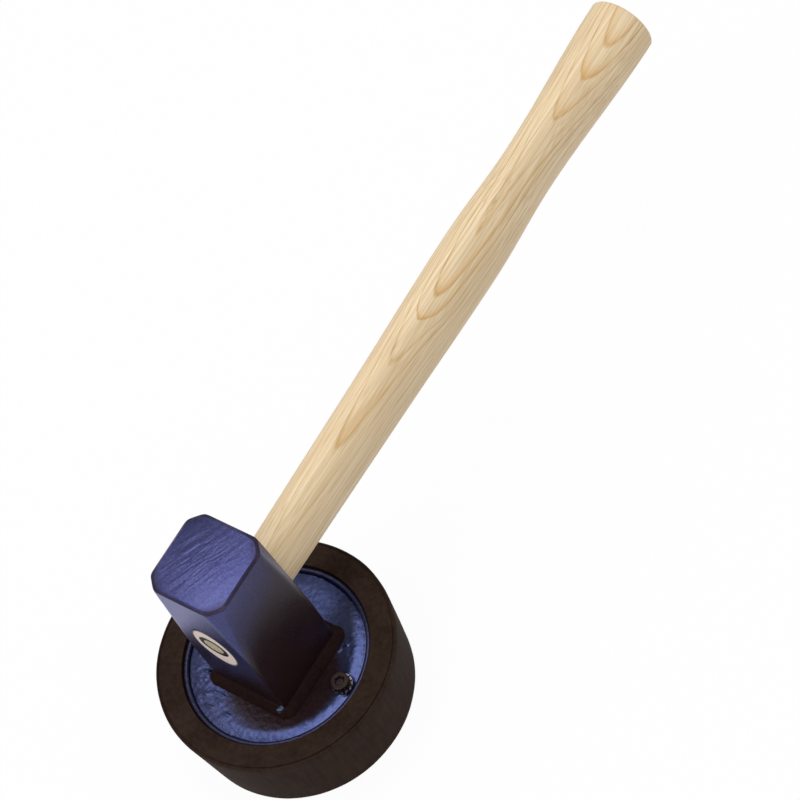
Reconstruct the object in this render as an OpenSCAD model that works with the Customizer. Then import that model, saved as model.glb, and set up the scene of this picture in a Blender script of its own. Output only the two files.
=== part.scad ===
// Paving hammer: a square steel head welded to a lipped plate, on a round rubber pad.
// Millimetres. The origin is the centre of the pad's striking face, +Z runs up through
// the head to the poll and +Y runs along the handle to the grip.

/* [Rubber pad] */
// Diameter across the pad's upper edge
pad_top_d = 111.4; // [100:0.2:134]
// How much smaller the pad's radius is at its foot than at its upper edge
pad_draft = 3.6; // [0:0.1:8]
// Thickness of the pad
pad_h = 41.2; // [34:0.1:50]
// Rounding of the foot's edge
pad_foot_round = 2.9; // [1:0.1:6]
// Rounding of the upper outer edge
pad_top_round = 0.8; // [0.3:0.1:1.5]
// Rounding of the edge of the plate's recess
recess_round = 0.4; // [0.2:0.1:1]
// Play between the plate and the wall of its recess
pad_play = 0.2; // [0.1:0.05:0.5]

/* [Base plate] */
// Diameter of the plate
plate_d = 86.8; // [82:0.2:94]
// Thickness of the plate's flat middle
plate_t = 3.2; // [2.5:0.1:5]
// How far the plate's lip lies below the pad's upper face
plate_drop = 1.3; // [0:0.1:3]
// How far the lip stands above the plate's flat middle
lip_rise = 1.4; // [0.5:0.1:2.5]
// Width of the lip, a rounded bead along the plate's edge
lip_w = 2.4; // [2.2:0.1:3]
// Rounding of the lip's two upper edges
lip_round = 1.1; // [0.4:0.1:1.1]
// Width of the flat bottom of the groove inside the lip
groove_w = 0.4; // [0.2:0.1:1.2]
// Width of the slope that falls from the flat middle into the groove
slope_w = 4.6; // [3:0.1:6]
// Steepness of that slope, in degrees
slope_a = 14; // [8:0.5:18]
// Rounding where the flat middle turns into the slope
slope_round = 3; // [1:0.5:8]

/* [Head] */
// Side of the square bar
head_side = 40; // [33:0.5:48]
// Height of the poll above the plate's flat middle
head_h = 93.2; // [77:0.1:112]
// Height of the bevel round the poll
bevel_h = 2.7; // [1:0.1:5]
// Width of that bevel, seen from above
bevel_w = 2.4; // [1:0.1:4]
// How much of each side the corner facets take at the poll
facet_w = 5.85; // [2:0.05:9]
// How far down the corner facets run from the poll
facet_len = 63.6; // [20:0.1:70]
// Leg of the weld bead round the head's foot
weld_leg = 4.3; // [2:0.1:6]
// Height of the ripples in the weld bead
weld_ripple = 0.35; // [0:0.05:0.6]
// Distance from one ripple to the next
weld_pitch = 3.2; // [2.5:0.1:6]

/* [Eye and ring wedge] */
// Width of the oval eye at its mouths
eye_w = 21.4; // [16.5:0.1:26]
// Height of the eye at its mouths
eye_h = 30.8; // [26:0.1:38]
// Height of the eye's centre above the plate's flat middle
eye_up = 47.7; // [38:0.1:58]
// How much each wall of the eye closes in at mid-length
eye_waist = 0.5; // [0:0.1:1]
// Wood left between the wedge and the side of the eye
wedge_wood = 3.1; // [0.8:0.1:4]
// Wall of the ring wedge at its driven end
wedge_wall = 2.4; // [1.2:0.1:2.8]
// Length of the ring wedge
wedge_len = 17; // [8:1:30]
// Where the wedge sits in the handle's end, from the eye's centre: across, up
wedge_off = [-0.2, 1];

/* [Handle] */
// Length of the handle from its wedged end to the tip of the grip
handle_len = 344; // [290:0.5:425]
// How much the handle's half width and half height grow from the eye's mouth to the throat
throat_swell = [0.1, 0.1];
// Half width and half height where the handle starts to swell
shaft = [11.6, 17.5];
// Half width and half height at the belly
belly = [13, 18.5];
// Half width and half height at the neck before the knob
neck = [11.4, 16.5];
// Half width and half height of the knob
knob = [15.6, 16.8];
// Distance from the face of the head to the throat
throat_out = 12; // [8:0.5:32]
// Distance back from the tip to where the handle starts to swell
shaft_back = 205.9; // [160:0.1:210]
// Distance back from the tip to the belly
belly_back = 133.5; // [110:0.5:145]
// Distance back from the tip to the neck
neck_back = 85.2; // [60:0.1:100]
// Distance back from the tip to the fattest part of the knob
knob_back = 4; // [3:0.1:20]
// How far in from the knob's side the tip's dome begins
tip_round = 12; // [3:0.1:15]
// How far the dome of the tip rises
tip_dome = 2.5; // [1:0.1:3]
// Clearance of the wood and the wedge in what holds them
wood_fit = 0.05; // [0.02:0.01:0.2]

/* [Fasteners] */
// Where each screw stands between the weld bead, 0, and the plate's edge, 1
screw_share = 0.57; // [0.4:0.01:0.65]
// Turn of the two screws round the head, in degrees
screw_turn = 2.5; // [-10:0.5:10]
// Nominal diameter of the screws
screw_d = 5; // [4:0.5:6]
// Diameter of the low socket head
screw_head_d = 8.5; // [7.5:0.1:9.5]
// Height of the low socket head
screw_head_h = 3.5; // [2.8:0.1:5]
// Across flats of the socket
socket_af = 4; // [2.5:0.5:4]
// Length of the screw under its head
screw_len = 16; // [12:1:22]
// Outer diameter of the toothed lock washer
washer_d = 10; // [9:0.1:10.4]
// Height of the washer over its twisted teeth
washer_t = 1; // [0.8:0.1:1.4]
// Number of teeth on the washer
washer_teeth = 12; // [8:1:16]
// Wall of the threaded insert's barrel
insert_wall = 1.5; // [1:0.1:2.5]
// How far the flange that keys the insert into the rubber stands out from the barrel
insert_flange = 3; // [1.5:0.1:4]
// Thickness of the insert below the screw's hole
insert_floor = 2.4; // [1:0.1:4]

/* [Hidden] */
$fn = 96;

paint = [0.16, 0.17, 0.38];
black_rubber = [0.17, 0.14, 0.13];
ash = [0.90, 0.80, 0.64];
dark_steel = [0.25, 0.23, 0.24];
bright_steel = [0.62, 0.60, 0.58];

// Heights and places that the pieces share
lip_z = pad_h - plate_drop;
floor_z = lip_z - lip_rise;
plate_z = floor_z - plate_t;
poll_z = floor_z + head_h;
eye_z = floor_z + eye_up;
plate_r = plate_d / 2;
half_side = head_side / 2;
bead_edge = half_side + weld_leg;
weld_inset = 2;
weld_corner = 0.5;
bead_run = half_side - weld_inset - weld_corner;
screw_r = bead_edge + screw_share * (plate_r - bead_edge);
throat = [eye_w / 2, eye_h / 2] + throat_swell;
tip_y = handle_len - half_side;
wedge_d = eye_w - 2 * (wedge_wood + abs(wedge_off[0]));
right_side = 0;
left_side = 180;

// How far a cutting shape runs past the face that it cuts
bite = 1;
// Steps of the small arcs, and of the foot's larger one
edge_steps = 4;
foot_steps = 8;
thread_play = 0.05;
hole_play = 0.25;
plate_edge = 0.6;
washer_tooth = 1.3;
tooth_w = 1.5;
tooth_twist = 24;
screw_tip_room = 1;
insert_flange_h = 2.5;
insert_d = screw_d + 2 * insert_wall;
screw_below_plate = screw_len - plate_t - washer_t;
insert_len = screw_below_plate + screw_tip_room + insert_floor;
insert_foot_z = plate_z - insert_len;
screw_edge = 0.5;
screw_point = 0.8;
socket_share = 0.6;
wedge_tip = 0.7;

// Points of an arc about centre, from one angle to another
function arc(centre, radius, from, to, steps) = [
    for (i = [0:steps])
        let (a = from + (to - from) * i / steps)
        centre + radius * [cos(a), sin(a)]
];

// The value at x of a smooth curve through knots, each [x, value]. It is level at every
// high and low point and at its end, and never swings past its knots.
function chord(knots, i) = (knots[i + 1][1] - knots[i][1]) / (knots[i + 1][0] - knots[i][0]);
function grade(knots, i) =
    i == 0 ? chord(knots, 0)
    : i == len(knots) - 1 ? 0
    : chord(knots, i - 1) * chord(knots, i) <= 0 ? 0
    : (chord(knots, i - 1) + chord(knots, i)) / 2;
function span(knots, x, i = 0) = i >= len(knots) - 2 || x < knots[i + 1][0] ? i : span(knots, x, i + 1);
function curve(knots, x) =
    let (
        i = span(knots, x),
        width = knots[i + 1][0] - knots[i][0],
        t = (x - knots[i][0]) / width
    )
    knots[i][1] * (1 + 2 * t) * pow(1 - t, 2)
    + knots[i + 1][1] * t * t * (3 - 2 * t)
    + grade(knots, i) * width * t * pow(1 - t, 2)
    - grade(knots, i + 1) * width * t * t * (1 - t);

// A solid skinned over rings of points, each ring with the same number of points. Seen
// from the last ring, looking back, the points of each ring run clockwise.
module skin(rings, closed = false) {
    sides = len(rings[0]);
    last = len(rings) - 1;
    walls = [
        for (r = [0:closed ? last : last - 1], s = [0:sides - 1])
            let (
                a = r * sides + s,
                b = r * sides + (s + 1) % sides,
                c = (r + 1) % len(rings) * sides + (s + 1) % sides,
                d = (r + 1) % len(rings) * sides + s
            )
            each [[a, b, c], [a, c, d]]
    ];
    caps = closed ? [] : [
        [for (s = [sides - 1:-1:0]) s],
        [for (s = [0:sides - 1]) last * sides + s]
    ];
    polyhedron(points = [for (ring = rings, p = ring) p], faces = concat(walls, caps), convexity = 8);
}

// One oval ring across the handle's line: y, half width, half height
oval_sides = 36;
function oval(y, half_w, half_h) = [
    for (s = [0:oval_sides - 1])
        let (a = 360 * s / oval_sides)
        [half_w * cos(a), y, eye_z + half_h * sin(a)]
];

// The eye is an hourglass: widest at its mouths, drawn in by eye_waist at mid-length
eye_steps = 8;
function eye_rings(shrink, past) = [
    for (i = [0:eye_steps])
        let (
            share = 2 * i / eye_steps - 1,
            inward = eye_waist * (1 - share * share) + shrink
        )
        oval(share * (half_side + past), eye_w / 2 - inward, eye_h / 2 - inward)
];

// Takes away all that lies outward of a slanted plane, which runs across the direction
// turn and passes through two points, each [distance from the axis, height]
module slanted_cut(low, high, turn) {
    along = high - low;
    reach = 3 * head_side;
    rotate([90, 0, turn])
        linear_extrude(reach, center = true)
            polygon([
                low - along,
                low - along + [reach, 0],
                high + along + [reach, 0],
                high + along
            ]);
}

module head_block() {
    bevel_z = poll_z - bevel_h;
    corner = half_side * sqrt(2);
    facet_d = corner - facet_w / sqrt(2);
    color(paint)
        difference() {
            translate([-half_side, -half_side, floor_z]) cube([head_side, head_side, head_h]);
            skin(eye_rings(0, bite));
            for (turn = [0:90:270]) {
                slanted_cut([half_side, bevel_z], [half_side - bevel_w, poll_z], turn);
                slanted_cut([corner, poll_z - facet_len], [facet_d, bevel_z], turn + 45);
                slanted_cut([facet_d, bevel_z], [facet_d - bevel_w, poll_z], turn + 45);
            }
        }
}

// Half of the plate's section: flat middle, slope, groove, rounded lip and plain edge
module plate_section() {
    lip_in = plate_r - lip_w;
    slope_out = lip_in - groove_w;
    slope_in = slope_out - slope_w;
    bend = slope_round * [sin(slope_a), 1 - cos(slope_a)];
    groove_z = floor_z - bend[1] - (slope_w - bend[0]) * tan(slope_a);
    polygon(concat(
        [[0, plate_z], [plate_r - plate_edge, plate_z], [plate_r, plate_z + plate_edge]],
        arc([plate_r, lip_z] - lip_round * [1, 1], lip_round, 0, 90, edge_steps),
        arc([lip_in, lip_z] + lip_round * [1, -1], lip_round, 90, 180, edge_steps),
        [[lip_in, groove_z], [slope_out, groove_z]],
        arc([slope_in, floor_z - slope_round], slope_round, 90 - slope_a, 90, edge_steps),
        [[0, floor_z]]
    ));
}

// Places its children on the line of the screws, on one side of the head
module at_screw(side, z) {
    rotate(screw_turn + side) translate([screw_r, 0, z]) children();
}

module base_plate() {
    color(paint)
        difference() {
            union() {
                rotate_extrude() plate_section();
                // A flat land carries each washer where the slope falls away
                for (side = [right_side, left_side])
                    at_screw(side, plate_z + plate_t / 2)
                        cylinder(d = washer_d, h = plate_t / 2);
            }
            for (side = [right_side, left_side])
                at_screw(side, plate_z - bite)
                    cylinder(d = screw_d + 2 * hole_play, h = plate_t + 2 * bite);
        }
}

// The bead's rings stand on a rounded square just inside the bar, and the bar is then cut
// away. Each section is a quarter round that swells and sinks along the run.
weld_side_steps = 24;
weld_corner_steps = 6;
function weld_ring(point, outward, run) =
    let (
        leg = weld_leg + weld_ripple * (abs(sin(180 * run / weld_pitch)) - 0.5),
        quarter = arc([weld_inset, 0], leg, 0, 90, edge_steps),
        section = concat([[0, 0]], quarter, [[0, leg]])
    )
    [for (p = section) [point[0] + outward[0] * p[0], point[1] + outward[1] * p[0], floor_z + p[1]]];
module weld_bead() {
    rings = [
        for (quarter_turn = [0:3])
            let (turn = 90 * quarter_turn)
            each concat(
                [
                    for (i = [0:weld_side_steps - 1])
                        let (
                            run = bead_run * (2 * i / weld_side_steps - 1),
                            out = [cos(turn), sin(turn)],
                            along = [-sin(turn), cos(turn)]
                        )
                        weld_ring(out * (bead_run + weld_corner) + along * run, out, run)
                ],
                [
                    for (i = [0:weld_corner_steps - 1])
                        let (
                            a = turn + 90 * i / weld_corner_steps,
                            mid = bead_run * [cos(turn) - sin(turn), sin(turn) + cos(turn)],
                            out = [cos(a), sin(a)]
                        )
                        weld_ring(mid + weld_corner * out, out, bead_run + weld_leg * PI * (a - turn) / 180)
                ]
            )
    ];
    color(paint)
        difference() {
            skin(rings, closed = true);
            translate([-half_side, -half_side, floor_z - bite])
                cube([head_side, head_side, 2 * weld_leg + bite]);
        }
}

// The insert's outside: a barrel with a flange at its foot that keys it into the rubber.
// The barrel can run past its own length, to cut the pocket clear through the rubber.
module insert_body(past = 0) {
    cylinder(d = insert_d, h = insert_len + past);
    cylinder(d = insert_d + 2 * insert_flange, h = insert_flange_h);
}

module rubber_pad() {
    top_r = pad_top_d / 2;
    foot_r = top_r - pad_draft;
    recess_r = plate_r + pad_play;
    color(black_rubber)
        difference() {
            rotate_extrude()
                polygon(concat(
                    [[0, 0]],
                    arc([foot_r - pad_foot_round, pad_foot_round], pad_foot_round, -90, 0, foot_steps),
                    arc([top_r, pad_h] - pad_top_round * [1, 1], pad_top_round, 0, 90, edge_steps),
                    arc([recess_r, pad_h] + recess_round * [1, -1], recess_round, 90, 180, edge_steps),
                    [[recess_r, plate_z], [0, plate_z]]
                ));
            for (side = [right_side, left_side])
                at_screw(side, insert_foot_z) insert_body(bite);
        }
}

module pad_insert(side) {
    color(bright_steel)
        at_screw(side, insert_foot_z)
            difference() {
                insert_body();
                translate([0, 0, insert_floor])
                    cylinder(d = screw_d + 2 * thread_play, h = insert_len + bite);
            }
}
module pad_insert_right() { pad_insert(right_side); }
module pad_insert_left() { pad_insert(left_side); }

// A thin ring whose teeth are twisted out of its plane
module lock_washer(side) {
    ring_t = washer_t / 2;
    ring_r = washer_d / 2 - washer_tooth;
    color(bright_steel)
        at_screw(side, floor_z)
            difference() {
                union() {
                    translate([0, 0, (washer_t - ring_t) / 2]) cylinder(r = ring_r, h = ring_t);
                    intersection() {
                        for (i = [0:washer_teeth - 1])
                            rotate(360 * i / washer_teeth)
                                translate([ring_r, 0, washer_t / 2])
                                    rotate([tooth_twist, 0, 0])
                                        cube([2 * washer_tooth, tooth_w, ring_t], center = true);
                        cylinder(d = washer_d, h = washer_t);
                    }
                }
                translate([0, 0, -bite])
                    cylinder(d = screw_d + 2 * hole_play, h = washer_t + 2 * bite);
            }
}
module lock_washer_right() { lock_washer(right_side); }
module lock_washer_left() { lock_washer(left_side); }

// Low socket-head cap screw; the thread shows only as a plain shank with a chamfered point
module cap_screw(side) {
    seat_z = floor_z + washer_t;
    head_r = screw_head_d / 2;
    shank_r = screw_d / 2;
    socket_depth = socket_share * screw_head_h;
    color(dark_steel)
        at_screw(side, seat_z)
            difference() {
                rotate_extrude()
                    polygon([
                        [0, -screw_len],
                        [shank_r - screw_point, -screw_len],
                        [shank_r, -screw_len + screw_point],
                        [shank_r, 0],
                        [head_r, 0],
                        [head_r, screw_head_h - screw_edge],
                        [head_r - screw_edge, screw_head_h],
                        [0, screw_head_h]
                    ]);
                translate([0, 0, screw_head_h - socket_depth])
                    cylinder(d = socket_af / cos(30), h = socket_depth + bite, $fn = 6);
                translate([0, 0, screw_head_h - screw_edge])
                    cylinder(d1 = socket_af, d2 = socket_af + 4 * screw_edge, h = 2 * screw_edge);
            }
}
module cap_screw_right() { cap_screw(right_side); }
module cap_screw_left() { cap_screw(left_side); }

// A slightly tapered tube, driven into the end grain to spread the wood in the eye
module wedge_tube(grow, past) {
    foot_r = wedge_d / 2 - wedge_wall / 2;
    translate([wedge_off[0], -half_side, eye_z + wedge_off[1]])
        rotate([-90, 0, 0])
            rotate_extrude()
                polygon([
                    [wedge_d / 2 - wedge_wall - grow, -past],
                    [wedge_d / 2 + grow, -past],
                    [foot_r + wedge_tip / 2 + grow, wedge_len + grow],
                    [foot_r - wedge_tip / 2 - grow, wedge_len + grow]
                ]);
}
module ring_wedge() {
    color(bright_steel) wedge_tube(0, 0);
}

// Ash handle: a tenon that fills the eye, then a long swell, a neck and a knob whose end is
// a low dome. The dome's last ring stops short of level, where the end's flat begins.
shaft_steps = 44;
tip_steps = 7;
tip_last_a = 86;
module handle() {
    knob_y = tip_y - knob_back;
    mouth = [eye_w / 2 - wood_fit, eye_h / 2 - wood_fit];
    stations = [
        [half_side, mouth], [half_side + throat_out, throat], [tip_y - shaft_back, shaft],
        [tip_y - belly_back, belly], [tip_y - neck_back, neck], [knob_y, knob]
    ];
    widths = [for (s = stations) [s[0], s[1][0]]];
    heights = [for (s = stations) [s[0], s[1][1]]];
    shaft_rings = [
        for (i = [1:shaft_steps])
            let (y = half_side + (knob_y - half_side) * i / shaft_steps)
            oval(y, curve(widths, y), curve(heights, y))
    ];
    tip_rings = [
        for (i = [0:tip_steps])
            let (
                a = tip_last_a * i / tip_steps,
                inward = tip_round * (1 - cos(a))
            )
            oval(tip_y - tip_dome * (1 - sin(a) / sin(tip_last_a)), knob[0] - inward, knob[1] - inward)
    ];
    color(ash)
        difference() {
            skin(concat(eye_rings(wood_fit, 0), shaft_rings, tip_rings));
            wedge_tube(wood_fit, bite);
        }
}

head_block();
base_plate();
weld_bead();
rubber_pad();
pad_insert_right();
pad_insert_left();
lock_washer_right();
lock_washer_left();
cap_screw_right();
cap_screw_left();
handle();
ring_wedge();
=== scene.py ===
import math

import bmesh
import bpy
from mathutils import Matrix, Vector, noise


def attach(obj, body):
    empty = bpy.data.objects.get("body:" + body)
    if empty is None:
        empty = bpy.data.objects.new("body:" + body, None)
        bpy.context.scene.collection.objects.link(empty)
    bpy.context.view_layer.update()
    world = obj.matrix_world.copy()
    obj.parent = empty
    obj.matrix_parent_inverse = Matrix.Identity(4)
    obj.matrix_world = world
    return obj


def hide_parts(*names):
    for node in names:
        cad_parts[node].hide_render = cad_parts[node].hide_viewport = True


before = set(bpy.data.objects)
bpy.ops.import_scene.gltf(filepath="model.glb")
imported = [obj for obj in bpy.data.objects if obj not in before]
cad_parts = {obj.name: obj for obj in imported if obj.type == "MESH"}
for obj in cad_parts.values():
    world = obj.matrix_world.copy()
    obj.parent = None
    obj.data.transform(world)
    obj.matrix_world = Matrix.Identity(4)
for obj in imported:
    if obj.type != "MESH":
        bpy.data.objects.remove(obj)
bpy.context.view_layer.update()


# The camera looks down on the head from its right front corner, with the handle
# running away to the upper right. It was fitted to the photograph.
MM = 0.001
camera_at = Vector((735.49, -295.36, 1306.25)) * MM
camera_right = Vector((0.79790, 0.52378, -0.29836))
camera_up = Vector((-0.34955, 0.80528, 0.47889))
camera_back = Vector((0.49110, -0.27781, 0.82562))
camera = bpy.data.objects.new("camera", bpy.data.cameras.new("camera"))
camera.data.sensor_width = 36
camera.data.lens = 153
camera.data.clip_start = 0.05
camera.matrix_world = Matrix.Translation(camera_at) @ Matrix(
    (camera_right, camera_up, camera_back)).transposed().to_4x4()
bpy.context.scene.collection.objects.link(camera)
bpy.context.scene.camera = camera
bpy.context.scene.view_settings.view_transform = "Standard"


# The floor is a plain pale sheet. The camera, and what mirrors it, sees it nearly white
# with a trace of the shadow.
floor_side = 8.0
floor_drop = 0.2 * MM
floor_white = 0.95


class Flow:
    """An output of a shader node, used in expressions like a value."""

    def __init__(self, nodes, socket):
        self.nodes = nodes
        self.socket = socket

    def also(self, output):
        """Another output of the same node."""
        return Flow(self.nodes, self.socket.node.outputs[output])

    def worked(self, operation, first, second):
        return self.nodes.node("ShaderNodeMath", {"operation": operation}, {0: first, 1: second})

    def __add__(self, other):
        return self.worked("ADD", self, other)

    def __radd__(self, other):
        return self.worked("ADD", other, self)

    def __sub__(self, other):
        return self.worked("SUBTRACT", self, other)

    def __rsub__(self, other):
        return self.worked("SUBTRACT", other, self)

    def __mul__(self, other):
        return self.worked("MULTIPLY", self, other)

    def __rmul__(self, other):
        return self.worked("MULTIPLY", other, self)

    def __truediv__(self, other):
        return self.worked("DIVIDE", self, other)


class Nodes:
    """The shader nodes of one material, or of the room round the object."""

    def __init__(self, owner):
        owner.use_nodes = True
        self.tree = owner.node_tree

    def set(self, node, sockets):
        """Gives each socket its value, or links it where the value is a flow."""
        for key, value in sockets.items():
            key = key.replace("_", " ") if isinstance(key, str) else key
            if isinstance(value, Flow):
                self.tree.links.new(value.socket, node.inputs[key])
            else:
                node.inputs[key].default_value = value

    def node(self, kind, settings=None, sockets=None, out=0):
        """Makes a node, first its settings and then its sockets, and gives one output."""
        made = self.tree.nodes.new(kind)
        for key, value in (settings or {}).items():
            if key == "stops":
                self.add_stops(made.color_ramp, value)
            elif key == "knots":
                self.add_knots(made.mapping, value)
            else:
                setattr(made, key, value)
        self.set(made, sockets or {})
        return Flow(self, made.outputs[out])

    def add_stops(self, ramp, stops):
        """Stops are pairs of a position and a grey or a colour."""
        while len(ramp.elements) < len(stops):
            ramp.elements.new(0.5)
        for element, (position, shade) in zip(ramp.elements, stops):
            element.position = position
            element.color = shade if isinstance(shade, tuple) else (shade, shade, shade, 1)

    def add_knots(self, mapping, knots):
        curve = mapping.curves[0]
        while len(curve.points) < len(knots):
            curve.points.new(0.5, 0.5)
        for point, knot in zip(curve.points, knots):
            point.location = knot
        mapping.update()

    def place(self):
        return self.node("ShaderNodeTexCoord", out="Object")

    def split_place(self):
        """The x, y and z of a place, each a flow in metres."""
        x = self.node("ShaderNodeSeparateXYZ", sockets={0: self.place()})
        return x, x.also(1), x.also(2)

    def stretched(self, scale, turn=(0, 0, 0)):
        return self.node("ShaderNodeMapping", sockets={
            "Vector": self.place(), "Rotation": turn, "Scale": scale})

    def noise(self, scale, detail, at=None):
        return self.node("ShaderNodeTexNoise", sockets={
            "Vector": at or self.place(), "Scale": scale, "Detail": detail, "Roughness": 0.55})

    def ramp(self, flow, *stops):
        return self.node("ShaderNodeValToRGB", {"stops": stops}, {0: flow})

    def mix(self, share, first, second):
        return self.node("ShaderNodeMix", {"data_type": "RGBA"}, {0: share, 6: first, 7: second}, out=2)

    def bump(self, height, strength, distance):
        return self.node("ShaderNodeBump", sockets={
            "Height": height, "Strength": strength, "Distance": distance})


class Finish(Nodes):
    """One material. Constants go to its shader's own sockets, flows are linked to them."""

    def __init__(self, name, **constants):
        self.material = bpy.data.materials.new(name)
        super().__init__(self.material)
        self.shader = self.tree.nodes["Principled BSDF"]
        self.set(self.shader, constants)

    def show(self, **flows):
        self.set(self.shader, flows)
        return self.material


bpy.ops.mesh.primitive_plane_add(size=floor_side, location=(0, 0, -floor_drop))
floor = bpy.context.object
floor.name = "floor"
sheet = Finish("pale_floor", Base_Color=(0.86, 0.86, 0.86, 1), Roughness=0.9)
from_camera = sheet.node("ShaderNodeLightPath")
from_mirror = from_camera.also("Is Glossy Ray") + from_camera.also("Is Transmission Ray")
glow = sheet.node("ShaderNodeEmission", sockets={"Color": (1, 1, 1, 1), "Strength": 1.0})
blended = sheet.node("ShaderNodeMixShader", sockets={
    0: (from_camera + from_mirror) * floor_white, 1: Flow(sheet, sheet.shader.outputs[0]), 2: glow})
sheet.set(sheet.tree.nodes["Material Output"], {"Surface": blended})
floor.data.materials.append(sheet.material)


# The object stands in a pale tent: a grey room, lighter overhead, one large softbox above
# and a weak one in front. A colour renders about as it is written.
lit_spot = Vector((0, 0.1, 0.06))
room_low = (0.36, 0.36, 0.365, 1)
room_high = (0.76, 0.76, 0.76, 1)


def softbox(name, towards, distance, side, power):
    """A square lamp that faces the lit spot from a direction."""
    lamp = bpy.data.lights.new(name, "AREA")
    lamp.shape = "SQUARE"
    lamp.size = side
    lamp.energy = power
    holder = bpy.data.objects.new(name, lamp)
    away = Vector(towards).normalized()
    holder.location = lit_spot + away * distance
    holder.rotation_mode = "QUATERNION"
    holder.rotation_quaternion = away.to_track_quat("Z", "Y")
    bpy.context.scene.collection.objects.link(holder)


softbox("top_softbox", (-0.08, 0.06, 1.0), distance=1.5, side=1.2, power=11)
softbox("front_softbox", (-0.3, -0.8, 0.6), distance=2.2, side=1.2, power=5)
room = bpy.data.worlds.new("room")
walls = Nodes(room)
facing = walls.node("ShaderNodeTexCoord", out="Generated")
upwards = walls.node("ShaderNodeSeparateXYZ", sockets={0: facing}, out=2)
walls.set(walls.tree.nodes["Background"], {
    "Color": walls.ramp(upwards, (0.2, room_low), (0.8, room_high))})
bpy.context.scene.world = room


# The striking pad is a thick disc of black moulded rubber. Its recess holds the steel
# plate, and its wall leans in a little towards the striking face.
pad_top_r = 55.7
pad_draft = 3.6
pad_h = 41.2
pad_edge = 2.0
pad_foot_round = 2.9
pad_flat_z = 0.5
pad_wave = 0.12
pad_wave_layers = [(0.06, 1.0), (0.35, 0.4)]
recess_r = 43.6
recess_edge = 1.0
recess_round = 0.4
plate_underside = 35.3
parting_in = 0.8
parting_w = 0.9
parting_d = 0.6
parting_lean = 0.1


def rounded(points, radius, steps=6):
    """The points of an open outline with a smooth bend in place of each inner corner. A bend
    takes less than half of each side that it joins."""
    most = 0.49
    made = [Vector(points[0])]
    for before, corner, after in zip(points, points[1:], points[2:]):
        corner = Vector(corner)
        back = Vector(before) - corner
        ahead = Vector(after) - corner
        half = back.angle(ahead) / 2
        reach = min(radius / math.tan(half), most * back.length, most * ahead.length)
        start = corner + back.normalized() * reach
        end = corner + ahead.normalized() * reach
        for i in range(steps + 1):
            t = i / steps
            made.append(start * (1 - t) ** 2 + corner * (2 * t * (1 - t)) + end * t ** 2)
    return made + [Vector(points[-1])]


def filled(points, gap):
    """The same outline with more points, none further apart than gap."""
    made = [points[0]]
    for first, last in zip(points, points[1:]):
        count = max(1, math.ceil((last - first).length / gap))
        made += [first.lerp(last, i / count) for i in range(1, count + 1)]
    return made


def full_turn(sides):
    """The angles of a full turn in equal steps, without the last, which is the first."""
    return [2 * math.pi * s / sides for s in range(sides)]


def polar(radius, angle, height=0.0):
    """The point at a radius and an angle round the upright axis."""
    return Vector((radius * math.cos(angle), radius * math.sin(angle), height))


def layered(p, layers):
    """Noise at a point, summed over layers of waves for each millimetre and strength."""
    return sum(strength * noise.noise(p * waves) for waves, strength in layers)


def skin(name, rings, sharp=40, closed=False, caps=True):
    """A smooth mesh over rings of points in millimetres, creased at angles above sharp. Its
    two ends are capped, are left as they are, or are joined to each other."""
    same_place = 1e-6
    sides = len(rings[0])
    points = [p * MM for ring in rings for p in ring]
    bands = len(rings) if closed else len(rings) - 1
    faces = []
    for band in range(bands):
        low = band * sides
        high = (band + 1) % len(rings) * sides
        for s in range(sides):
            after = (s + 1) % sides
            faces.append((low + s, low + after, high + after, high + s))
    if caps and not closed:
        last = bands * sides
        faces += [tuple(range(sides))[::-1], tuple(range(last, last + sides))]
    mesh = bpy.data.meshes.new(name)
    mesh.from_pydata(points, [], faces)
    work = bmesh.new()
    work.from_mesh(mesh)
    bmesh.ops.remove_doubles(work, verts=work.verts, dist=same_place)
    bmesh.ops.recalc_face_normals(work, faces=work.faces)
    work.to_mesh(mesh)
    work.free()
    mesh.shade_smooth()
    mesh.set_sharp_from_angle(angle=math.radians(sharp))
    piece = bpy.data.objects.new(name, mesh)
    bpy.context.scene.collection.objects.link(piece)
    return piece


def turned(name, profile, sides, surface):
    """A mesh turned about the upright axis from a profile of (radius, height) that starts and
    ends on the axis. The surface function moves each point to where it really lies."""
    rings = []
    for radius, height in profile:
        rings.append([surface(polar(radius, angle, height)) for angle in full_turn(sides)])
    return skin(name, rings, caps=False)


def fit(piece, material, node):
    """Puts a piece on the object in place of the CAD node that it stands for."""
    piece.data.materials.append(material)
    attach(piece, "root")
    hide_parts(node)


def colour(red, green, blue):
    """The linear colour of a colour read from a picture, 0 to 255."""
    def linear(part):
        part = part / 255
        return part / 12.92 if part <= 0.04045 else ((part + 0.055) / 1.055) ** 2.4
    return (linear(red), linear(green), linear(blue), 1.0)


def pad_surface(p):
    """The moulded wall and rim are drawn in a little, here more and there less."""
    outwards = Vector((p.x, p.y, 0))
    if p.z < pad_flat_z or outwards.length < recess_r + recess_edge:
        return p
    return p - outwards.normalized() * pad_wave * (1 + layered(p, pad_wave_layers))


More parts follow.
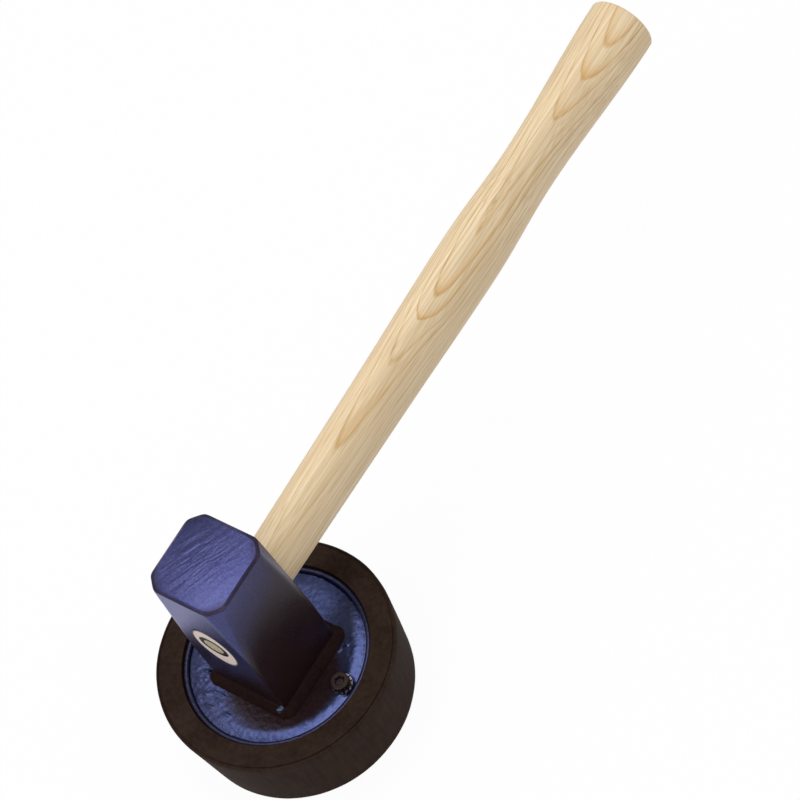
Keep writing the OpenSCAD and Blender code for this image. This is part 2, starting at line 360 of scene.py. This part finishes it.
parting_r = pad_top_r - parting_in
parting_low = pad_h - parting_d
pad_profile = rounded(
    [(0, 0), (pad_top_r - pad_draft, 0), (pad_top_r, pad_h)], pad_foot_round, steps=8)[:-1]
pad_profile += rounded(
    [(pad_top_r, pad_h - pad_edge), (pad_top_r, pad_h), (parting_r, pad_h)], parting_in)
pad_profile += [
    Vector((parting_r - parting_lean, parting_low)),
    Vector((parting_r - parting_w, parting_low)),
    Vector((parting_r - parting_w - parting_lean, pad_h))]
pad_profile += rounded(
    [(recess_r + recess_edge, pad_h), (recess_r, pad_h), (recess_r, pad_h - recess_edge)], recess_round)
pad_profile += [Vector((recess_r, plate_underside)), Vector((0, plate_underside))]
pad = turned("moulded_pad", filled(pad_profile, gap=1.5), 240, pad_surface)
rubber = Finish("black_rubber", Specular_IOR_Level=0.06)
mottle = rubber.noise(60, 5)
dust = rubber.noise(900, 3)
upright_streak = rubber.noise(1, 3, rubber.stretched((500, 500, 40)))
rubber_tone = rubber.ramp(mottle * 0.6 + upright_streak * 0.4, (0.35, 0.0), (0.65, 1.0))
fit(pad, rubber.show(
    Base_Color=rubber.mix(rubber_tone, colour(38, 24, 19), colour(55, 42, 35)),
    Roughness=0.68 + 0.18 * mottle,
    Normal=rubber.bump(dust * 0.6 + upright_streak * 0.4, 0.3, 0.12 * MM)), "rubber_pad")


# The base plate is a round of sheet steel. Its flat middle falls away to a groove inside
# a rounded lip. The block is welded to it, two screws hold it in the pad, and one blue
# paint with a metal sheen lies thick and uneven over plate, bead and block.
plate_r = 43.4
plate_t = 3.2
plate_top = plate_underside + plate_t
plate_edge = 0.6
plate_middle_r = 1
upper_side_d = 1.5
lip_z = 39.9
lip_w = 2.4
lip_round = 1.1
lip_clear = 0.1
lip_in = plate_r - lip_w
groove_w = 0.4
groove_d = 1.05
slope_w = 5.6
slope_bend = 1.8
slope_out = lip_in - groove_w
slope_in = slope_out - slope_w
shallow_depth = 0.3
shallow_x = -8
full_x = 22
screw_r = 35.187
screw_turn = math.radians(2.5)
screw_d = 5.0
screw_sides = (0, math.pi)
hole_play = 0.25
washer_d = 10.0
washer_land_r = washer_d / 2 + 0.3
clear_cut = 2.0
peel_height = 0.0585
peel_sink = 0.8
peel_layers = [(0.5, 1.0), (1.2, 0.6)]
streak_height = 0.05
streak_sink = 0.6
streak_from = slope_in - 0.5
streak_full = slope_in + 2.5
streaks_round = 40
streaks_out = 0.2
streak_seed = 7
grit_height = 0.14
grit_layers = [(1.9, 1.0), (3.1, 1.0)]
splash_at = Vector((-23, -23))
splash_r = 9
wrinkle_reach = 9
# The centre and reach of the painted shadow that the head casts on the plate.
painted_shadow_x = 9
painted_shadow_y = -7
painted_shadow_r = 30

# A wrinkle's row holds the x and y of its two ends, its height and how far it spreads.
wrinkles = [
    (-26.4, -20.2, -24.1, -19.6, 0.5, 0.5), (-24.1, -19.6, -24.5, -16.8, 0.5, 0.5),
    (-24.1, -19.6, -22.2, -20.9, 0.625, 0.6), (-20.2, -22.6, -20.0, -22.5, 0.475, 0.5),
    (-26.6, -27.5, -26.4, -27.4, 0.4, 0.5), (-24.5, -23.5, -24.3, -23.6, 0.425, 0.5),
    (-21.9, -24.9, -21.3, -24.4, 0.425, 0.5), (-23.9, -29.3, -19.8, -29.4, 0.275, 0.5),
    (-19.8, -29.4, -16.5, -26.8, 0.3, 0.5), (-16.5, -26.8, -11.5, -26.6, 0.275, 0.5),
    (-30.8, -21.2, -30.0, -20.0, 0.3, 0.6), (-28.5, -24.5, -26.0, -25.0, 0.25, 0.5),
    (-23.5, -31.8, -20.5, -33.0, 0.225, 0.6), (-17.0, -33.8, -13.5, -33.6, 0.25, 0.6),
    (-13.7, -29.6, -11.0, -30.4, 0.2, 0.8), (-6.0, -33.3, -3.4, -33.4, 0.25, 0.7),
    (-33.5, -14.6, -32.4, -12.0, 0.2, 0.9), (-29.5, -15.5, -28.0, -13.5, 0.2, 0.8),
    (24.4, 13.6, 24.9, 15.2, 0.375, 0.6), (26.3, 18.4, 26.6, 18.2, 0.3125, 0.5)]


def fade(value, low, high):
    """0 up to low, 1 from high on, and in proportion between them."""
    return min(1.0, max(0.0, (value - low) / (high - low)))


def quarter_turn(steps):
    """The angles of a quarter turn in equal steps, with both ends."""
    return [math.pi / 2 * i / steps for i in range(steps + 1)]


def screw_place(side):
    """Where a screw stands, at its angle from the right of the plate."""
    return polar(screw_r, screw_turn + side)


def upright_cylinder(centre, radius, low, high, sides=64):
    """A tool for a round hole or pocket from one height to another."""
    return skin("cutter", [
        [centre + polar(radius, angle, height) for angle in full_turn(sides)] for height in (low, high)])


def combine(piece, operation, tool):
    """Takes the tool's shape out of a piece or adds it, and removes the tool."""
    step = piece.modifiers.new("combine", "BOOLEAN")
    step.object = tool
    step.operation = operation
    step.solver = "EXACT"
    bpy.context.view_layer.objects.active = piece
    bpy.ops.object.modifier_apply(modifier=step.name)
    bpy.data.objects.remove(tool)


def wrinkle_rise(p):
    """How far the thick runs of paint and the spatter under it lift the plate's surface."""
    total = 0.0
    for x, y, end_x, end_y, height, spread in wrinkles:
        if abs(p.x - x) + abs(p.y - y) > wrinkle_reach:
            continue
        whole = Vector((end_x - x, end_y - y))
        offset = Vector((p.x - x, p.y - y))
        nearest = whole * fade(offset.dot(whole), 0, whole.length_squared)
        total += height * math.exp(-((offset - nearest).length / spread) ** 2)
    return total


def plate_surface(p):
    """Orange peel and wrinkles on the upper side, but a flat land under each washer. The
    slope is shallower on the left."""
    radius = p.xy.length
    if p.z < plate_top - upper_side_d or radius < plate_middle_r:
        return p
    if slope_in < radius < lip_in - lip_clear and p.z < plate_top:
        depth = shallow_depth + (1 - shallow_depth) * fade(p.x, shallow_x, full_x)
        p = Vector((p.x, p.y, plate_top + (p.z - plate_top) * depth))
    if min((p.xy - screw_place(side).xy).length for side in screw_sides) < washer_land_r:
        return Vector((p.x, p.y, plate_top)) if radius < slope_out else p
    around = math.atan2(p.y, p.x) * streaks_round
    streak = noise.noise(Vector((around, radius * streaks_out, streak_seed)))
    on_slope = fade(radius, streak_from, streak_full)
    splashed = math.exp(-((p.xy - splash_at).length / splash_r) ** 2)
    rise = peel_height * (layered(p, peel_layers) - peel_sink) + wrinkle_rise(p)
    rise += streak_height * on_slope * (streak - streak_sink)
    rise += grit_height * splashed * layered(p, grit_layers)
    return p + Vector((0, 0, rise))


def blue_paint(name, grain, depth, deep, light, roughness, blue_part,
               painted_shade_colours=((34, 20, 21), (45, 30, 32)), gloss=0.2):
    """Blue where blue_part gives 1, and where it gives 0 a dark brown that is painted shade."""
    paint = Finish(name, Specular_IOR_Level=gloss, Specular_Tint=(0.8, 0.8, 1, 1))
    cloud = paint.noise(45, 4)
    peel = paint.noise(grain, 4)
    fine = paint.noise(grain * 3.2, 2)
    tone = paint.ramp(cloud * 0.45 + peel * 0.55, (0.36, 0.0), (0.66, 1.0))
    blueness = blue_part(paint, *paint.split_place())
    # Painted shade: a dark brown for the paint where it lies in shadow.
    painted_shade = paint.mix(tone, colour(*painted_shade_colours[0]), colour(*painted_shade_colours[1]))
    blue = paint.mix(tone, colour(*deep), colour(*light))
    return paint.show(
        Base_Color=paint.mix(blueness, painted_shade, blue),
        Metallic=0.12 + 0.78 * blueness,
        Roughness=roughness + 0.12 * cloud,
        Normal=paint.bump(peel * 0.75 + fine * 0.25, 0.45, depth * MM))


def blue_on_plate(paint, x, y, z):
    """A painted shadow of the head: dark brown in a round that reaches from the bead to the right
    of the plate, blue outside it and near the rim. The lip and the left side get a little
    painted shade too."""
    off_x = (x - painted_shadow_x * MM) / (painted_shadow_r * MM)
    off_y = (y - painted_shadow_y * MM) / (painted_shadow_r * MM)
    ragged = 0.25 * (paint.noise(260, 3) - 0.5)
    # Painted shadow of the head, a ragged round.
    inside = paint.ramp(off_x * off_x + off_y * off_y + ragged, (0.6, 1.0), (1.0, 0.0))
    outwards = (x * x + y * y) / ((plate_r * MM) ** 2)
    rim = paint.ramp(outwards, (0.66, 0.0), (0.73, 1.0))
    # Painted shade in the groove and on the lip.
    lip = paint.ramp(outwards, (0.89, 0.0), (0.93, 0.55))
    # Painted shade over the outer left of the plate.
    left = paint.ramp(x / (2 * plate_r * MM) + 0.5, (0.35, 0.28), (0.65, 0.0))
    left = left * paint.ramp(outwards, (0.35, 0.0), (0.7, 1.0))
    return (1 - inside * (1 - rim)) * (1 - lip) * (1 - left)


plate_profile = [
    Vector((0, plate_underside)), Vector((plate_r - plate_edge, plate_underside)),
    Vector((plate_r, plate_underside + plate_edge))]
for lip_centre, start in ((plate_r - lip_round, 0), (lip_in + lip_round, math.pi / 2)):
    for angle in quarter_turn(8):
        plate_profile.append(Vector((
            lip_centre + lip_round * math.cos(start + angle),
            lip_z - lip_round + lip_round * math.sin(start + angle))))
plate_profile.append(Vector((lip_in, plate_top - groove_d)))
slope_steps = 12
for i in range(slope_steps + 1):
    share = 1 - i / slope_steps
    plate_profile.append(Vector((
        slope_in + slope_w * share, plate_top - groove_d * share ** slope_bend)))
plate_profile.append(Vector((0, plate_top)))
plate = turned("lipped_plate", filled(plate_profile, gap=0.5), 400, plate_surface)
for side in screw_sides:
    combine(plate, "DIFFERENCE", upright_cylinder(
        screw_place(side), screw_d / 2 + hole_play, plate_underside - clear_cut, plate_top + clear_cut))
fit(plate, blue_paint(
    "plate_paint", grain=620, depth=0.18, deep=(49, 55, 91), light=(68, 77, 115),
    roughness=0.17, blue_part=blue_on_plate), "base_plate")


# The head is a length of square bar. Its corners are ground to long facets that fade out
# downwards, its poll is bevelled, and the poll's face keeps the drag marks of the cut.
half_side = 20.0
bar_sides = 208
poll_z = 131.7
bevel_h = 2.1
bevel_w = 1.4
bevel_round = 0.6
facet_w = 5.85
facet_len = 63.6
edge_hardness = 70
poll_hardness = 19
poll_soft_h = 5
poll_crown = 1.0
poll_clear = 0.05
face_start = bevel_w + 3
face_middle = 0.02
face_steps = 64
drag_turn = math.radians(25)
drag_height = 0.16
drag_sink = 0.9
drag_edge = 1.2
drag_bend = 1.6
drag_bend_waves = 0.06
drag_bend_seed = 4
drag_least = 0.45
drag_fade = 8
eye_w = 21.4
eye_h = 30.8
eye_z = 86.2
# The painted shade on the block stays lower in front, climbs higher on the right face and has a ragged
# edge.
front_blue = 0.5
right_face_shade = 30
ragged_shade = 18

# A layer of drag marks has waves for each millimetre along and across, and a strength.
drag_layers = [(0.07, 0.45, 0.7), (0.16, 1.1, 0.45), (0.6, 1.9, 0.25)]


def bar_outline(inset, height):
    """Points round the bar at a height, drawn in by an inset. The bar's four sides and four
    corner facets meet in edges that are softest at the poll."""
    facet_foot = poll_z - facet_len
    corner_d = math.sqrt(2) * half_side
    corner_d -= facet_w / math.sqrt(2) * fade(height, facet_foot, poll_z - bevel_h)
    hardness = poll_hardness
    hardness += (edge_hardness - poll_hardness) * fade(poll_z - height, 0, poll_soft_h)
    ring = []
    for angle in full_turn(bar_sides):
        angle += math.pi / bar_sides
        total = 0.0
        for k in range(8):
            facing = math.cos(angle - k * math.pi / 4)
            reach = (half_side if k % 2 == 0 else corner_d) - inset
            if facing > 0:
                total += (facing / reach) ** hardness
        ring.append(polar(total ** (-1 / hardness), angle, height))
    return ring


def poll_surface(p):
    """Drag marks on the poll's face: long ridges in one direction, broken up along their
    length and fainter to the right. They end before the bevel."""
    if p.z < poll_z - poll_clear:
        return p
    along = p.x * math.sin(drag_turn) + p.y * math.cos(drag_turn)
    across = p.x * math.cos(drag_turn) - p.y * math.sin(drag_turn)
    bend_place = Vector((along * drag_bend_waves, across * drag_bend_waves, drag_bend_seed))
    across += drag_bend * noise.noise(bend_place)
    ridges = 0.0
    for layer, (waves_along, waves_across, strength) in enumerate(drag_layers, 1):
        ridges += strength * noise.noise(Vector((along * waves_along, across * waves_across, layer)))
    ridges *= drag_least + (1 - drag_least) * fade(0.4 * p.y - p.x, -drag_fade, drag_fade)
    inside = fade(half_side - bevel_w - max(abs(p.x), abs(p.y)), 0, drag_edge)
    return p - Vector((0, 0, inside * drag_height * (drag_sink - ridges)))


def crowned(p):
    """Lowers the poll's outer parts a little, and its bevel with them."""
    share = max(0, (p.z - poll_z + bevel_h) / bevel_h)
    return p - Vector((0, 0, share * poll_crown * (p.x * p.x + p.y * p.y) / half_side ** 2))


def oval_ring(y, half_w, half_h, x=0.0, z=eye_z, sides=96):
    """Points round an upright oval that faces along the handle."""
    return [Vector((x + half_w * math.cos(angle), y, z + half_h * math.sin(angle)))
            for angle in full_turn(sides)]


def blue_on_head(paint, x, y, z):
    """Blue at the poll, fading to the dark brown of painted shade towards the weld, sooner on
    the right face than in front. The bevel round the poll and the facet by the handle get
    painted shade as well."""
    right_face = paint.ramp(x / (half_side * MM), (0.9, 0.0), (0.97, 1.0))
    ragged = ragged_shade * MM * (paint.noise(70, 3) - 0.5)
    height = z - front_blue * y - right_face_shade * MM * right_face + ragged
    upper = paint.ramp(height / (poll_z * MM), (0.5, 0.0), (0.84, 1.0))
    # Painted shade on the bevel round the poll.
    bevel = paint.ramp(z / (poll_z * MM), (0.979, 0.0), (0.983, 1.0), (0.9895, 1.0), (0.992, 0.0))
    # Painted shade on the corner facet by the handle.
    by_handle = paint.ramp((x + y) / (2 * half_side * MM), (0.8, 0.0), (0.88, 0.6))
    return upper * (1 - 0.7 * bevel) * (1 - by_handle)


bar_profile = rounded([
    (0, plate_top), (0, poll_z - bevel_h), (bevel_w, poll_z), (face_start, poll_z)], bevel_round)
bar_rings = [bar_outline(inset, height) for inset, height in filled(bar_profile, gap=2.0)]
face_w = half_side - face_middle - face_start
for i in range(1, face_steps + 1):
    bar_rings.append(bar_outline(face_start + face_w * i / face_steps, poll_z))
head = skin("hammer_head", [[crowned(poll_surface(p)) for p in ring] for ring in bar_rings], 50)
combine(head, "DIFFERENCE", skin("cutter", [
    oval_ring(y, eye_w / 2, eye_h / 2) for y in (-half_side - clear_cut, half_side + clear_cut)]))
fit(head, blue_paint(
    "head_paint", grain=900, depth=0.07, deep=(55, 56, 97), light=(75, 78, 120),
    roughness=0.22, blue_part=blue_on_head), "head_block")


# The weld bead is steel laid by hand along the block's foot, which it joins to the plate.
# It swells and sinks, and a small drop sits on its front corner. The bead's dark brown is
# painted shade, and the drop's pale blue is a painted highlight.
weld_leg = 4.0
weld_corner = 1.6
weld_bite = 0.8
weld_sink = 0.2
weld_bulge = 1.7
weld_ripple = 0.22
weld_pitch = 3.2
weld_layers = [(0.3, 1.2)]
weld_side_steps = 60
weld_corner_steps = 14
weld_corner_run = 4
drop_x = 17.7
drop_y = -21.3
drop_rise = 3.1
drop_r = 1.6
drop_shape = (1.3, 0.7, 0.5, 1)
# The length and width of the painted highlight on the drop.
drop_highlight_len = 2.7
drop_highlight_w = 1.7


def weld_section(point, outward, run):
    """The bead's outline at a point on the block's foot, a run along its side."""
    swell = abs(math.sin(math.pi * run / weld_pitch)) - 0.5 + layered(point, weld_layers)
    leg = weld_leg + weld_ripple * swell
    section = [(-weld_bite, -weld_sink), (leg, -weld_sink)]
    for angle in quarter_turn(8):
        section.append((leg * math.cos(angle) ** weld_bulge, leg * math.sin(angle) ** weld_bulge))
    section.append((-weld_bite, leg))
    return [point + outward * x + Vector((0, 0, plate_top + y)) for x, y in section]


def highlight_on_weld(paint, x, y, z):
    """The bead is dark brown all round, as painted shade, and only the drop on its front
    corner is pale blue, as a painted highlight.
    """
    off_x = x - drop_x * MM
    off_y = y - drop_y * MM
    along = (off_x + off_y) / (drop_highlight_len * MM)
    across = (off_x - off_y) / (drop_highlight_w * MM)
    return paint.ramp(along * along + across * across, (0.3, 1.0), (1.0, 0.0))


weld_rings = []
straight = half_side - weld_corner
for quarter in range(4):
    turn = quarter * math.pi / 2
    outward = polar(1, turn)
    sideward = polar(1, turn + math.pi / 2)
    for i in range(weld_side_steps):
        run = straight * (2 * i / weld_side_steps - 1)
        weld_rings.append(weld_section(outward * half_side + sideward * run, outward, run))
    for angle in quarter_turn(weld_corner_steps)[:-1]:
        swing = polar(1, turn + angle)
        foot = (outward + sideward) * straight + swing * weld_corner
        weld_rings.append(weld_section(foot, swing, straight + weld_corner_run * angle))
weld = skin("weld_and_drops", weld_rings, 60, closed=True)
drop_place = Matrix.Translation(Vector((drop_x, drop_y, plate_top + drop_rise)) * MM)
drop_place = drop_place @ Matrix.Rotation(math.pi / 4, 4, "Z") @ Matrix.Diagonal(drop_shape)
ball = bmesh.new()
bmesh.ops.create_icosphere(ball, subdivisions=3, radius=drop_r * MM, matrix=drop_place)
drop = bpy.data.objects.new("drop", bpy.data.meshes.new("drop"))
ball.to_mesh(drop.data)
ball.free()
bpy.context.scene.collection.objects.link(drop)
combine(weld, "UNION", drop)
weld.data.shade_smooth()
# The pale blues are the drop's painted highlight, and the dark browns the bead's painted shade.
fit(weld, blue_paint(
    "weld_paint", grain=520, depth=0.25, deep=(80, 92, 122), light=(110, 124, 156),
    roughness=0.5, blue_part=highlight_on_weld, painted_shade_colours=((30, 16, 13), (42, 27, 23)),
    gloss=0.06), "weld_bead")


# Two low socket-head screws of steel, with toothed lock washers, hold the plate in threaded
# inserts moulded into the pad. The inserts are out of sight, each in its stepped pocket.
insert_r = 4.0
insert_flange_r = 7.0
insert_flange_h = 2.5
insert_foot_z = 20.1
grimed = 0.62


def steel(name, shade, roughness):
    """Bare steel, darker and duller where grime lies on it."""
    made = Finish(name, Metallic=1.0)
    grime = made.noise(700, 4)
    return made.show(
        Base_Color=made.mix(grime, colour(*shade), colour(*[part * grimed for part in shade])),
        Roughness=roughness + 0.25 * grime,
        Normal=made.bump(grime, 0.25, 0.05 * MM))


def dress(material, *names):
    """Gives CAD nodes that stay in view their finish."""
    for name in names:
        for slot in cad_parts[name].material_slots:
            slot.material = material


for side in screw_sides:
    combine(pad, "DIFFERENCE", upright_cylinder(
        screw_place(side), insert_flange_r, insert_foot_z, insert_foot_z + insert_flange_h))
    combine(pad, "DIFFERENCE", upright_cylinder(
        screw_place(side), insert_r, insert_foot_z + insert_flange_h / 2, plate_underside + clear_cut))
dress(steel("blackened_steel", (86, 70, 70), 0.28), "cap_screw_right", "cap_screw_left")
dress(steel("plain_steel", (176, 170, 166), 0.26),
      "lock_washer_right", "lock_washer_left", "pad_insert_right", "pad_insert_left")


# The handle is turned from ash. Its oval tenon fills the eye, flush with the front of the
# head, and the grip ends in a rounded knob. The growth rings run nearly along its length.
tip_y = 324.0
tip_round = 12.0
tip_dome = 2.5
body_end = tip_y - tip_dome
body_steps = 170
tenon_steps = 12
knob_steps = 12
knob_end_steps = 8
front = -half_side
eye_waist = 0.5
wood_fit = 0.05
wedge_x = -0.2
wedge_z = eye_z + 1
wedge_d = 14.8
wedge_wall = 2.4
wedge_len = 17.0
wedge_mid_r = wedge_d / 2 - wedge_wall / 2
groove_tip = 0.8
heart_turn = math.radians(31)
ring_gap = 2.2 * MM
ring_bow = -45 * MM
ring_wander = 1.1 * MM
crest_w = 7 * MM
run_low = -17.4
run_high = 4.0
end_depth = 0.2

# A station holds a place along the handle, and the half width and half height there.
stations = [(20, 10.65, 15.35), (32, 10.8, 15.5), (118.1, 11.6, 17.5), (190.5, 13, 18.5),
            (238.8, 11.4, 16.5), (320, 15.6, 16.8)]

# The growth rings run out of the wood: a place along the handle, and how far they have run.
run_out = [(20, -16.2), (65, -15.4), (116.5, -14.3), (144.5, -12.5), (157.5, -10.5), (190.5, -8.7),
           (251, -4.9), (277.5, -3.1), (301, -0.9), (324, 0.7)]


def along_handle(y, column):
    """The handle's half width, column 1, or half height, column 2, on a smooth curve through
    its stations."""
    places = [station[0] for station in stations]
    values = [station[column] for station in stations]
    if y >= places[-1]:
        return values[-1]
    slopes = [(values[i + 1] - values[i]) / (places[i + 1] - places[i]) for i in range(len(places) - 1)]
    grades = [slopes[0]]
    grades += [0 if a * b <= 0 else (a + b) / 2 for a, b in zip(slopes, slopes[1:])]
    grades += [0]
    i = max(k for k in range(len(slopes)) if y >= places[k] or k == 0)
    width = places[i + 1] - places[i]
    t = (y - places[i]) / width
    return (values[i] * (1 + 2 * t) * (1 - t) ** 2 + values[i + 1] * t * t * (3 - 2 * t)
            + grades[i] * width * t * (1 - t) ** 2 - grades[i + 1] * width * t * t * (1 - t))


def wedge_ring(y, radius):
    """Points round the ring wedge's axis, which stands a little off the eye's."""
    return oval_ring(y, radius, radius, wedge_x, wedge_z)


groove_end = front + wedge_len + wood_fit
handle_rings = [
    wedge_ring(front, 0),
    wedge_ring(front, wedge_d / 2 - wedge_wall - wood_fit),
    wedge_ring(groove_end, wedge_mid_r - groove_tip / 2),
    wedge_ring(groove_end, wedge_mid_r + groove_tip / 2),
    wedge_ring(front, wedge_d / 2 + wood_fit)]
for i in range(tenon_steps + 1):
    share = 2 * i / tenon_steps - 1
    drawn = eye_waist * (1 - share ** 2) + wood_fit
    handle_rings.append(oval_ring(share * half_side, eye_w / 2 - drawn, eye_h / 2 - drawn))
for i in range(1, body_steps + 1):
    y = half_side + (body_end - half_side) * i / body_steps
    handle_rings.append(oval_ring(y, along_handle(y, 1), along_handle(y, 2)))
knob_w = along_handle(body_end, 1)
knob_h = along_handle(body_end, 2)
for angle in quarter_turn(knob_steps)[1:]:
    drawn = tip_round * (1 - math.cos(angle))
    handle_rings.append(oval_ring(body_end + tip_dome * math.sin(angle), knob_w - drawn, knob_h - drawn))
for i in range(1, knob_end_steps + 1):
    share = 1 - i / knob_end_steps
    handle_rings.append(oval_ring(tip_y, (knob_w - tip_round) * share, (knob_h - tip_round) * share))
handle = skin("turned_handle", handle_rings, 45, caps=False)

# Growth is counted in rings from a curved layer of the wood. Each ring starts with open
# early wood, no two rings are equally strong, and pores and fine lines run along them.
ash = Finish("ash_wood", Specular_IOR_Level=0.28, Coat_Roughness=0.35)
wood_x, wood_y, wood_z = ash.split_place()
from_eye = wood_z - eye_z * MM
towards_bark = wood_x * math.sin(heart_turn) + from_eye * math.cos(heart_turn)
sideways = wood_x * math.cos(heart_turn) - from_eye * math.sin(heart_turn)
run_knots = [(y / tip_y, (height - run_low) / (run_high - run_low)) for y, height in run_out]
run_share = ash.node("ShaderNodeFloatCurve", {"knots": run_knots}, {"Value": wood_y / (tip_y * MM)})
run_height = run_share * ((run_high - run_low) * MM) + run_low * MM
bow = sideways * sideways / (2 * ring_bow)
wander = (ash.noise(1, 3, ash.stretched((90, 14, 90))) - 0.5) * ring_wander
growth = (towards_bark + bow + run_height + wander) / ring_gap
in_ring = ash.node("ShaderNodeMath", {"operation": "FRACT"}, {0: growth})
ring_number = ash.node("ShaderNodeMath", {"operation": "FLOOR"}, {0: growth})
ring_weight = ash.node("ShaderNodeTexWhiteNoise", {"noise_dimensions": "1D"}, {"W": ring_number})
early = ash.ramp(in_ring, (0.0, 0.6), (0.04, 1.0), (0.10, 0.45), (0.22, 0.08), (0.93, 0.0), (1.0, 0.6))
crest = ash.ramp(sideways * sideways / (crest_w ** 2), (0.0, 1.0), (1.0, 0.0))
ring_edge = ash.ramp(in_ring, (0.0, 0.5), (0.06, 1.0), (0.5, 0.0), (0.9, 0.0), (1.0, 0.5))
tips = ring_edge * crest * ring_weight
pores = ash.noise(1, 3, ash.stretched((2400, 110, 2400)))
streaks = ash.noise(1, 4, ash.stretched((520, 9, 520)))
broad = ash.noise(1, 2, ash.stretched((60, 8, 60)))
lines = ash.noise(1, 2, ash.stretched((400, 5, 400), (0.02, 0, 0)))
pore_line = ash.ramp(pores, (0.42, 0.0), (0.62, 1.0))
fine_lines = ash.ramp(
    lines, (0.38, 0.0), (0.42, 1.0), (0.47, 0.1), (0.51, 0.9), (0.55, 0.0), (0.62, 0.8), (0.67, 0.0))
grain = early * (0.25 + 0.65 * ring_weight) * (0.4 + 0.6 * streaks)
grain = grain + pore_line * (0.06 + 0.2 * early)
grain = grain + fine_lines * (0.24 + 0.42 * streaks)
plain_wood = ash.mix(broad, colour(238, 217, 183), colour(230, 206, 168))
long_wood = ash.mix(grain, plain_wood, colour(182, 146, 90))
long_wood = ash.mix(tips * 0.75, long_wood, colour(216, 170, 104))

# The tenon's end grain is paler and pinker, and the core inside the ring is browner. A dark
# band round its outline is painted shade in the gap between the wood and the eye.
in_eye_x = wood_x * wood_x / ((eye_w / 2 * MM) ** 2)
in_eye_z = from_eye * from_eye / ((eye_h / 2 * MM) ** 2)
# Painted shade in the gap between the tenon and the eye.
outline = ash.ramp(in_eye_x + in_eye_z, (0.82, 0.0), (0.97, 1.0))
core_x = wood_x - wedge_x * MM
core_z = wood_z - wedge_z * MM
in_core = ash.node("ShaderNodeMath", {"operation": "LESS_THAN"}, {
    0: core_x * core_x + core_z * core_z, 1: (wedge_mid_r * MM) ** 2})
fibres = ash.noise(1400, 3)
end_grain = ash.mix(fibres, colour(240, 226, 216), colour(214, 196, 182))
core_tone = ash.ramp(fibres, (0.4, 0.0), (0.6, 1.0))
core_grain = ash.mix(core_tone, colour(150, 132, 98), colour(212, 200, 170))
end_wood = ash.mix(outline, ash.mix(in_core, end_grain, core_grain), colour(60, 44, 40))
at_front = ash.node("ShaderNodeMath", {"operation": "LESS_THAN"}, {
    0: wood_y, 1: (front + end_depth) * MM})
fit(handle, ash.show(
    Base_Color=ash.mix(at_front, long_wood, end_wood),
    Roughness=0.48 + 0.12 * streaks,
    Coat_Weight=0.08 + 0.06 * broad,
    Normal=ash.bump(pores * 0.5 + early * 0.5, 0.15, 0.04 * MM)), "handle")


# The ring wedge is a short tube of steel with a tapered wall. It is driven into the
# tenon's end grain and spreads the wood in the eye.
dress(steel("ring_steel", (52, 46, 56), 0.34), "ring_wedge")
